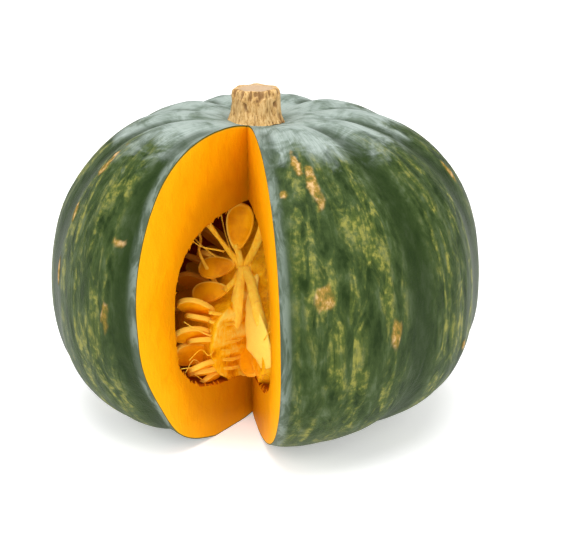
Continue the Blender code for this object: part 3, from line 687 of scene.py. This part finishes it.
# Pulp and seeds
# Moist fibres that fill the cavity's middle, cut open with the fruit. Strands and satiny sheets tear
# from it to the cavity's wall, and each seed's pointed end grows out of it.
PULP_HEIGHTS = (0.020, 0.026, 0.034, 0.044, 0.051, 0.055, 0.058, 0.063, 0.071, 0.077, 0.083, 0.088)
PULP_RADII = (0.024, 0.036, 0.0430, 0.0435, 0.041, 0.036, 0.028, 0.022, 0.0205, 0.015, 0.009, 0.004)
PULP_LOBES, PULP_LOBE_HEIGHT, PULP_LOBE_TWIST = 11, 0.0016, 900
PULP_END_DOME, PULP_SET_BACK, PULP_WALL_GAP = 0.001, 0.0010, 0.0005
CORE_COLUMNS, CORE_ROWS, CORE_CAP_ROWS, CORE_CUT_COLUMNS = 150, 150, 8, 90
CORE_ROUGH, CORE_ROUGH_SIZE = 0.0007, 0.004
CORE_PATH = smooth_path([(0, PULP_HEIGHTS[0] - PULP_END_DOME), *zip(PULP_RADII, PULP_HEIGHTS),
                         (0, PULP_HEIGHTS[-1] + PULP_END_DOME)], 6)
# Strands, stalks and sheets: places along each, its widths, thickness, the azimuth that it faces, and
# how pale it is. A place is a cut, the way along it from where the cuts meet, a height, and a depth into
# the fruit, which is less than zero in the notch.
VIEW = -75
STRANDS = (
    (((LEFT, 0.004, 0.0720, 0.002), (LEFT, 0.013, 0.0860, 0.006), (LEFT, 0.026, 0.1030, 0.008)),
     (0.0032, 0.0018, 0.0034), 0.0020, VIEW, 0.15),
    (((LEFT, 0.010, 0.0620, 0.010), (LEFT, 0.017, 0.0790, 0.014), (LEFT, 0.014, 0.0860, 0.016),
      (LEFT, 0.022, 0.1020, 0.016)), (0.0024, 0.0012, 0.0012, 0.0022), 0.0012, VIEW, 0.2),
    (((LEFT, 0.003, 0.0710, 0.001), (RIGHT, 0.005, 0.0800, 0.001), (RIGHT, 0.012, 0.0920, 0.004),
      (RIGHT, 0.018, 0.1050, 0.006)), (0.0034, 0.0034, 0.0040, 0.0060), 0.0024, VIEW, 0.2),
    (((LEFT, 0.004, 0.0710, 0.002), (LEFT, 0.0055, 0.0775, 0.0015), (LEFT, 0.0068, 0.0830, 0.0025)),
     (0.0040, 0.0028, 0.0028), 0.0024, VIEW, 0.2),
    (((LEFT, 0.004, 0.0690, 0.003), (LEFT, 0.009, 0.0668, 0.002), (LEFT, 0.0140, 0.0632, 0.0035)),
     (0.0036, 0.0024, 0.0028), 0.0022, VIEW, 0.2),
    (((LEFT, 0.004, 0.0720, 0.001), (LEFT, 0.0100, 0.0600, -0.0005), (LEFT, 0.0105, 0.0500, -0.0002),
      (LEFT, 0.0095, 0.0420, 0.0030)), (0.0036, 0.0054, 0.0046, 0.0030), 0.0034, VIEW, 0.4),
    (((LEFT, 0.003, 0.0720, 0.001), (RIGHT, 0.010, 0.0670, -0.001), (RIGHT, 0.024, 0.0575, 0.000),
      (RIGHT, 0.027, 0.0480, 0.003)), (0.0040, 0.0044, 0.0052, 0.0040), 0.0030, VIEW, 0.4),
    (((RIGHT, 0.003, 0.0690, 0.002), (RIGHT, 0.014, 0.0570, -0.0015), (RIGHT, 0.025, 0.0460, -0.001),
      (RIGHT, 0.029, 0.0350, 0.003)), (0.0050, 0.0140, 0.0240, 0.0120), 0.0026, -138, 1.0),
)
COMB_FIBRES, COMB_LOWEST, COMB_STEP, COMB_WIDTH, COMB_HEIGHT = 7, 0.0270, 0.0042, 0.0016, 0.0013
COMB_SIZE, COMB_DRAW, COMB_SLOPE, COMB_BORDER = 0.0042, 0.30, 0.16, (0.05, 0.004)
STRAND_RIPPLE, STRAND_GRAIN = 0.16, 0.0022
COMB_STOPS = ((0.002, -0.0010, 0.0020), (0.011, 0.0000, 0.0004), (0.019, 0.0022, 0.0006),
              (0.026, 0.0050, 0.0030))
# Torn fibres: how many, how far round the cavity in radians, and the place along a cut that they point to
FRINGE, FRINGE_TURN, FRINGE_TOWARDS, FRINGE_SLANT = 110, 1.4, 0.028, 0.6
FRINGE_LENGTHS, FRINGE_DEPTHS, FRINGE_WIDTH = (0.0004, 0.0018), (0.0003, 0.0012), 0.0007
# Depths behind the cuts at which the painted shade on the pulp and seeds starts and is darkest
SHADE_DEPTHS = 0.007, 0.022
THREADS, THREAD_WIDTH, THREAD_SWAY, THREAD_HEIGHTS = 8, 0.0004, 0.0035, (0.026, 0.057)
THREAD_RISES, THREAD_DEPTHS, THREAD_REACHES = (-0.002, 0.006), (0.001, 0.007), (0.010, 0.017)
CEILING_THREADS, CEILING_PLACES, CEILING_DEPTHS = 3, (0.006, 0.030), (0.005, 0.018)
CEILING_FEET, CEILING_SWAY = (0.070, 0.080), 0.004
SEED_LENGTH, SEED_WIDTH, SEED_THICKNESS, SEED_POINT, SEED_MIDDLE = 0.0185, 0.0105, 0.0034, 0.30, 0.55
SEED_UNEVEN, SEED_UNEVEN_SIZE = 0.0003, 0.006
# The seed's side from its middle out: share of the outline, share of the thickness, and how much rim
SEED_SIDE = ((0.0, 0.50, 0), (0.35, 0.49, 0), (0.62, 0.44, 0), (0.80, 0.36, 0), (0.86, 0.32, 0.3),
             (0.90, 0.34, 1), (0.95, 0.34, 1), (0.99, 0.24, 1), (1.0, 0.10, 1))
SEED_COLUMNS = 36
# Seeds that the cut bares: the place of each one's point, then its heading, rise, roll and size
BARED_SEEDS = (
    ((LEFT, 0.0066, 0.0800, 0.0020), 80, 72, 70, 1.12),
    ((LEFT, 0.0060, 0.0735, 0.0030), -166, -9, -36, 0.90),
    ((LEFT, 0.0118, 0.0637, 0.0030), -170, -11, -36, 0.88),
    ((LEFT, 0.0200, 0.0550, 0.0050), -140, 25, 48, 0.98),
    ((LEFT, 0.0190, 0.0495, 0.0060), -128, 26, 76, 0.86),
    ((LEFT, 0.0230, 0.0460, 0.0045), -136, 10, 40, 0.98),
    ((LEFT, 0.0195, 0.0415, 0.0040), -124, 16, 66, 0.90),
    ((LEFT, 0.0210, 0.0375, 0.0050), -142, 2, 10, 1.04),
    ((LEFT, 0.0220, 0.0330, 0.0030), -118, 4, 56, 0.90),
    ((LEFT, 0.0180, 0.0280, 0.0030), -126, 9, 64, 0.98),
    ((LEFT, 0.0150, 0.0250, 0.0050), -112, -2, 36, 0.92),
    ((LEFT, 0.0020, 0.0350, 0.0010), -64, -36, 70, 0.92),
    ((RIGHT, 0.0100, 0.0385, 0.0005), -48, -40, 62, 1.00),
)
# Ranks of seeds round the rest of the core, and how far a seed strays in its place, heading, roll and size
RANKS, RANK_FIRST_AZIMUTH, RANK_TURN = 9, -38, 31
RANK_SEEDS, RANK_LOWEST, RANK_STEP, RANK_STAGGER = 5, 0.0300, 0.0095, 0.0040
RANK_LOW_RISE, RANK_RISE_STEP, RANK_ROLL, ROOT_DEPTH, RANDOM_SEED = -10, 11, 60, 0.0035, 7
STRAY_PLACE, STRAY_HEADING, STRAY_ROLL, STRAY_SIZES = 5, 14, 25, (0.92, 1.05)
PULP_DEEP, PULP_BRIGHT, PULP_PALE = (0.66, 0.22, 0.001), (0.98, 0.50, 0.005), (1.0, 0.74, 0.13)
PULP_SHADE = (0.36, 0.085, 0.001)
# The rim colour is a little real paleness all round and a painted highlight along one side of each seed.
SEED_DEEP, SEED_FACE, SEED_RIM_HIGHLIGHT = (0.76, 0.25, 0.001), (0.96, 0.40, 0.002), (1.0, 0.64, 0.08)


def pulp_finish():
    # The pulp's emission in its own colour is a painted glow.
    pulp = Finish("moist_pulp", Roughness=0.38, Subsurface_Weight=0.10, Subsurface_Scale=0.002,
                  Specular_IOR_Level=0.07, Emission_Strength=0.08)
    fibres = pulp.noise(pulp.place(0.6), 0.45, 4.0, 0.65, 0.5)
    fine = pulp.noise(pulp.place(), 1.2, 2.0, 0.6)
    # The crest value makes the combed fibres paler on their crests and deeper orange in their valleys: a
    # painted highlight and painted shade.
    colour = pulp.ramp(fibres * 0.5 + pulp.value("crest") * 0.5,
                       [(0.34, PULP_DEEP), (0.50, PULP_BRIGHT), (0.70, PULP_PALE)])
    colour = pulp.mix(pulp.value("pale") * 0.9, colour, PULP_PALE)
    # Behind the cuts the pulp darkens to a painted shade.
    colour = pulp.mix(pulp.value("deep") * 0.85, colour, PULP_SHADE)
    return pulp.feed(Base_Color=colour, Emission_Color=colour, Normal=pulp.bump(fine, 0.0005, 0.4))


def seed_finish():
    # The seeds' emission in their own colour is a painted glow.
    seed = Finish("coated_seeds", Roughness=0.35, Subsurface_Weight=0.06, Subsurface_Scale=0.002,
                  Specular_IOR_Level=0.05, Coat_Weight=0.03, Coat_Roughness=0.2, Emission_Strength=0.08)
    cloud = seed.noise(seed.place(), 0.16, 3.0, 0.6)
    colour = seed.ramp(cloud, [(0.30, SEED_DEEP), (0.58, SEED_FACE)])
    fine = seed.noise(seed.place(), 0.9, 2.0)
    # A faintly pale rim all round, and a painted highlight along one side of each seed.
    across = seed.chart_part("Y")
    colour = seed.mix(seed.value("rim") * (0.1 + across.step(0.35, 0.70) * 0.7), colour, SEED_RIM_HIGHLIGHT)
    # Behind the cuts the seeds darken to a painted shade.
    colour = seed.mix(seed.value("deep") * 0.8, colour, PULP_SHADE)
    return seed.feed(Base_Color=colour, Emission_Color=colour, Normal=seed.bump(fine, 0.0003, 0.3))


def cut_face_point(side, along, height, depth):
    foot = np.array([*notch_axis(height), height])
    return foot + cut_heading(side) * along + cut_heading(side, 90) * depth


def pressed_in(points):
    """Points moved in to the cavity's wall wherever they pass it."""
    middle = np.array([AXIS_X, AXIS_Y, CAVITY_MID_HEIGHT])
    away = points - middle
    fullness = np.where(away[..., 2] > 0, CAVITY_TOP_FULLNESS, CAVITY_BOTTOM_FULLNESS)
    level = ((np.hypot(away[..., 0], away[..., 1]) / (CAVITY_RADIUS - PULP_WALL_GAP)) ** fullness
             + (np.abs(away[..., 2]) / (CAVITY_HALF_HEIGHT - PULP_WALL_GAP)) ** fullness)
    return middle + away / np.maximum(level, 1)[..., None] ** (1 / fullness)[..., None]


def painted_shade_share(points):
    """0 near the cuts and 1 well behind them: the share of painted shade on the pulp and seeds."""
    away = points[..., :2] - notch_axis(points[..., 2])
    behind = [away @ cut_heading(side, 90)[:2] for side in (LEFT, RIGHT)]
    return smooth_step(np.maximum(*behind), *SHADE_DEPTHS)


def core_points(latitude, azimuth):
    """Points of the core: rings about the axis with upright lobes, twisted as they rise."""
    place = (latitude + 90) / 180 * (len(CORE_PATH) - 1)
    steps = np.arange(len(CORE_PATH))
    radius, height = np.interp(place, steps, CORE_PATH[:, 0]), np.interp(place, steps, CORE_PATH[:, 1])
    lobes = PULP_LOBE_HEIGHT * np.cos(np.radians(PULP_LOBES * azimuth + PULP_LOBE_TWIST * height))
    plain = ring_points(radius, azimuth, height)
    rough = CORE_ROUGH * (layered_noise(plain, CORE_ROUGH_SIZE, 2, 101) - 0.5)
    reach = np.maximum(radius + (lobes + rough) * radius / max(PULP_RADII), 0)
    return ring_points(reach, azimuth, height, AXIS_X, AXIS_Y)


def core_patches():
    latitude, azimuth, core = notched_grid(core_points, no_lean, CORE_ROWS, CORE_CAP_ROWS, CORE_COLUMNS,
                                           PULP_SET_BACK)
    patches = [patch_of(core, stacked(azimuth / 360, latitude / 180), crest=0.4)]
    opened = slice(CORE_CAP_ROWS, CORE_CAP_ROWS + CORE_ROWS)
    share = np.linspace(0, 1, CORE_CUT_COLUMNS)
    for side, column in ((RIGHT, 0), (LEFT, -1)):
        outer = core[opened, column]
        inner = np.c_[notch_axis(outer[:, 2], PULP_SET_BACK), outer[:, 2]]
        grid = between(outer, inner, share)
        span = np.linalg.norm(grid - inner[:, None], axis=-1)
        combed = stacked(span * COMB_DRAW, grid[..., 2] - span * COMB_SLOPE, side)
        border = smooth_step(np.minimum(share, 1 - share), 0, COMB_BORDER[0])
        border = border * smooth_step(span[:, :1], 0, COMB_BORDER[1])
        comb = (layered_noise(combed, COMB_SIZE, 3, 111) + 0.3) * border
        grid = grid + COMB_HEIGHT * comb[..., None] * cut_heading(side, -90)
        # The crest value carries a painted highlight on the combed fibres' crests and painted shade in their
        # valleys.
        patches.append(patch_of(grid, stacked(share[None], outer[:, 2:] * 10), crest=0.4 + 0.6 * comb))
    return patches


def unit(vectors):
    return vectors / np.linalg.norm(vectors, axis=-1, keepdims=True)


def strand_patch(places, widths, thickness, faces, pale, sides=14, steps=9, pressed=True):
    """A strand or sheet: a ribbed oval section carried along a smooth path, wide across what it faces."""
    path = smooth_path([cut_face_point(*place) for place in places], steps)
    along = unit(np.gradient(path, axis=0))
    across = unit(np.cross(along, heading(faces)))
    out = np.cross(across, along)
    share = np.linspace(0, 1, len(path))
    width = np.interp(share, np.linspace(0, 1, len(widths)), widths)
    angle = np.linspace(0, 2 * math.pi, sides + 1)
    plain = path[:, None] + across[:, None] * (width[:, None] * np.cos(angle) / 2)[..., None]
    fibres = stacked(share[:, None] * 0.02, width[:, None] * np.cos(angle), thickness * 40 + faces)
    ripple = STRAND_RIPPLE * thickness * layered_noise(fibres, STRAND_GRAIN, 2, 121)
    lift = thickness * np.sin(angle)[None] / 2 + ripple
    grid = plain + out[:, None] * lift[..., None]
    grid = np.concatenate([np.repeat(path[:1, None], sides + 1, 1), grid,
                           np.repeat(path[-1:, None], sides + 1, 1)])
    maps = stacked(angle / (2 * math.pi), np.linspace(0, 1, len(grid))[:, None])
    points = pressed_in(grid) if pressed else grid
    return patch_of(points, maps, pale=pale, crest=0.5)


def way_along(side, height, reach):
    """Distance along a cut face at which it is a reach away from the fruit's axis, at a height."""
    foot = notch_axis(height) - (AXIS_X, AXIS_Y)
    lean = float(foot @ cut_heading(side)[:2])
    return math.sqrt(max(lean ** 2 + reach ** 2 - float(foot @ foot), 0)) - lean


def fringe_patches(random):
    """Torn fibres that stand out from the cavity's edge on both cuts."""
    patches = []
    for i in range(FRINGE):
        side, turn = RIGHT if i % 3 == 2 else LEFT, random.uniform(-FRINGE_TURN, FRINGE_TURN)
        power = 2 / (CAVITY_TOP_FULLNESS if turn > 0 else CAVITY_BOTTOM_FULLNESS)
        height = CAVITY_MID_HEIGHT + CAVITY_HALF_HEIGHT * math.copysign(abs(math.sin(turn)) ** power, turn)
        along = way_along(side, height, CAVITY_RADIUS * math.cos(turn) ** power)
        root = np.array([along, height])
        inward = unit((FRINGE_TOWARDS, CAVITY_MID_HEIGHT) - root) * random.uniform(*FRINGE_LENGTHS)
        slant = random.uniform(-FRINGE_SLANT, FRINGE_SLANT) * np.array([inward[1], -inward[0]])
        deep = random.uniform(*FRINGE_DEPTHS)
        places = [(side, *(root + share * inward + share ** 2 * slant), deep * (0.5 + share))
                  for share in (-0.25, 0.5, 1.0)]
        patches.append(strand_patch(places, (FRINGE_WIDTH, FRINGE_WIDTH * 0.7, 0.0002), FRINGE_WIDTH * 0.6,
                                    VIEW, 0.0, 6, 3, False))
        patches[-1]["values"]["crest"] = 0.1
    return patches


def thread_patches(random):
    """Fine threads from the core's edge among the seeds, and others up to the ceiling."""
    patches = []
    for i in range(THREADS):
        height, side = random.uniform(*THREAD_HEIGHTS), RIGHT if i % 4 == 3 else LEFT
        edge = way_along(side, height, np.interp(height, PULP_HEIGHTS, PULP_RADII))
        rise = random.uniform(*THREAD_RISES)
        deep = random.uniform(*THREAD_DEPTHS)
        sway = random.uniform(-THREAD_SWAY, THREAD_SWAY)
        places = ((side, edge - 0.004, height, 0.0012),
                  (side, edge + 0.002, height + rise + sway, deep * 0.4),
                  (side, edge + 0.007, height + rise - sway, deep * 0.8),
                  (side, edge + random.uniform(*THREAD_REACHES), height + rise * 2.2, deep))
        patches.append(strand_patch(places, (0.0012, THREAD_WIDTH, THREAD_WIDTH), THREAD_WIDTH, VIEW,
                                    random.uniform(0, 0.6), 6, 5))
    for i in range(CEILING_THREADS):
        along, deep = random.uniform(*CEILING_PLACES), random.uniform(*CEILING_DEPTHS)
        places = ((LEFT, along * 0.4, random.uniform(*CEILING_FEET), deep * 0.6),
                  (LEFT, along + random.uniform(-CEILING_SWAY, CEILING_SWAY), 0.088, deep),
                  (LEFT, along * 1.15, 0.106, deep))
        patches.append(strand_patch(places, (0.0010, THREAD_WIDTH, 0.0012), THREAD_WIDTH, VIEW, 0.3, 6, 5))
    return patches


def seed_pattern():
    """A seed along +X from its point: an egg outline, two low domed faces and a rim round its edge."""
    side = np.array(SEED_SIDE)
    share = np.concatenate([side[:, 0], side[::-1, 0]])[:, None]
    thick = np.concatenate([side[:, 1], -side[::-1, 1]])[:, None]
    rim = np.concatenate([side[:, 2], side[::-1, 2]])[:, None]
    angle = np.linspace(0, 2 * math.pi, SEED_COLUMNS + 1)[None]
    x, y = 0.5 - 0.5 * np.cos(angle), 0.5 * np.sin(angle) * (1 - SEED_POINT * np.cos(angle))
    x = SEED_MIDDLE + (x - SEED_MIDDLE) * share
    grid = stacked(SEED_LENGTH * x, SEED_WIDTH * y * share, SEED_THICKNESS * thick)
    return grid, stacked(x, y * share + 0.5), rim


def seed_patch(pattern, point, azimuth, rise, roll, size):
    """A seed from its point along a heading; roll 0 turns its flat sides level, and 90 up and down."""
    along = heading(azimuth, rise)
    side = unit(np.cross(along, (0, 0, 1)))
    up, turn = np.cross(side, along), math.radians(roll)
    normal = side * math.cos(turn) + up * math.sin(turn)
    grid, maps, rim = pattern
    placed = point + size * grid @ np.array([along, np.cross(normal, along), normal])
    uneven = SEED_UNEVEN * layered_noise(placed, SEED_UNEVEN_SIZE, 2, 131)
    placed = placed + uneven[..., None] * normal
    return patch_of(pressed_in(placed), maps, rim=rim)


def seed_patches():
    random, pattern = np.random.default_rng(RANDOM_SEED), seed_pattern()
    patches = [seed_patch(pattern, cut_face_point(*place), *turns) for place, *turns in BARED_SEEDS]
    for rank in range(RANKS):
        for i in range(RANK_SEEDS):
            height = RANK_LOWEST + RANK_STEP * i + RANK_STAGGER * (rank % 2)
            turn = RANK_FIRST_AZIMUTH + rank * RANK_TURN + random.uniform(-STRAY_PLACE, STRAY_PLACE)
            reach = np.interp(height, PULP_HEIGHTS, PULP_RADII) - ROOT_DEPTH
            point = heading(turn) * reach + (AXIS_X, AXIS_Y, height)
            patches.append(seed_patch(pattern, point, turn + random.uniform(-STRAY_HEADING, STRAY_HEADING),
                                      RANK_LOW_RISE + RANK_RISE_STEP * i,
                                      RANK_ROLL + random.uniform(-STRAY_ROLL, STRAY_ROLL),
                                      random.uniform(*STRAY_SIZES)))
    return patches


def make_pulp():
    patches = core_patches() + [strand_patch(*row) for row in STRANDS]
    for i in range(COMB_FIBRES):
        height = COMB_LOWEST + COMB_STEP * i
        places = [(LEFT, along, height + rise, depth) for along, rise, depth in COMB_STOPS]
        patches.append(strand_patch(places, [COMB_WIDTH] * len(places), COMB_WIDTH, VIEW, 0.3, 10, 6))
    random = np.random.default_rng(RANDOM_SEED)
    patches += thread_patches(random) + fringe_patches(random)
    seeds = seed_patches()
    # Painted shade behind the cuts, for the pulp and the seeds.
    for patch in patches + seeds:
        patch["values"]["deep"] = painted_shade_share(patch["points"])
    ride_root(joined_mesh("pulp", patches, [pulp_finish()]), "seeds_in_pulp")
    ride_root(joined_mesh("seeds", seeds, [seed_finish()]), "seeds_in_pulp")


make_fruit()
make_stem()
make_pulp()

# Floor, light and camera
FLOOR_SIZE = 6.0
CAMERA_AZIMUTH, CAMERA_ELEVATION, CAMERA_DISTANCE = 12.2, 19.37, 0.600
CAMERA_TARGET, LIGHT_TARGET = (0.0083, -0.0016, 0.0630), (0, 0, 0.06)
CAMERA_LENS, SENSOR_WIDTH, SKY_STRENGTH = 84.6, 36.0, 0.75
# Each light: heading, rise, distance, size across and power
LIGHTS = {"overhead": (-80, 78, 1.2, 1.1, 13.0), "left_window": (-130, 35, 1.4, 0.8, 5.0),
          "right_fill": (-40, 30, 1.5, 0.9, 6.0)}


def make_floor():
    corner = FLOOR_SIZE / 2
    mesh = bpy.data.meshes.new("floor")
    mesh.from_pydata([(-corner, -corner, 0), (corner, -corner, 0), (corner, corner, 0), (-corner, corner, 0)],
                     [], [(0, 1, 2, 3)])
    paper = Finish("white_paper", Roughness=0.6, Specular_IOR_Level=0.1, Base_Color=(0.93, 0.93, 0.93, 1.0),
                   Emission_Color=(1.0, 1.0, 1.0, 1.0), Emission_Strength=0.34)
    mesh.materials.append(paper.material)
    linked("floor", mesh)


def aimed(name, data, target, azimuth, rise, distance):
    """An object that looks at a target from a heading and a distance."""
    made, back = linked(name, data), Vector(heading(azimuth, rise))
    made.location = Vector(target) + back * distance
    made.rotation_euler = back.to_track_quat("Z", "Y").to_euler()
    return made


def make_light(name, azimuth, rise, distance, size, power):
    lamp = bpy.data.lights.new(name, "AREA")
    lamp.shape, lamp.size, lamp.energy = "DISK", size, power
    aimed(name, lamp, LIGHT_TARGET, azimuth, rise, distance)


def make_camera():
    lens = bpy.data.cameras.new("camera")
    lens.lens, lens.sensor_width, lens.sensor_fit = CAMERA_LENS, SENSOR_WIDTH, "HORIZONTAL"
    bpy.context.scene.camera = aimed("camera", lens, CAMERA_TARGET, CAMERA_AZIMUTH - 90, CAMERA_ELEVATION,
                                     CAMERA_DISTANCE)


make_floor()
for light, numbers in LIGHTS.items():
    make_light(light, *numbers)
world = bpy.data.worlds.new("studio")
world.use_nodes = True
backdrop = world.node_tree.nodes["Background"].inputs
backdrop["Color"].default_value = (1.0, 1.0, 1.0, 1.0)
backdrop["Strength"].default_value = SKY_STRENGTH
bpy.context.scene.world = world
bpy.context.scene.view_settings.view_transform = "Standard"
make_camera()
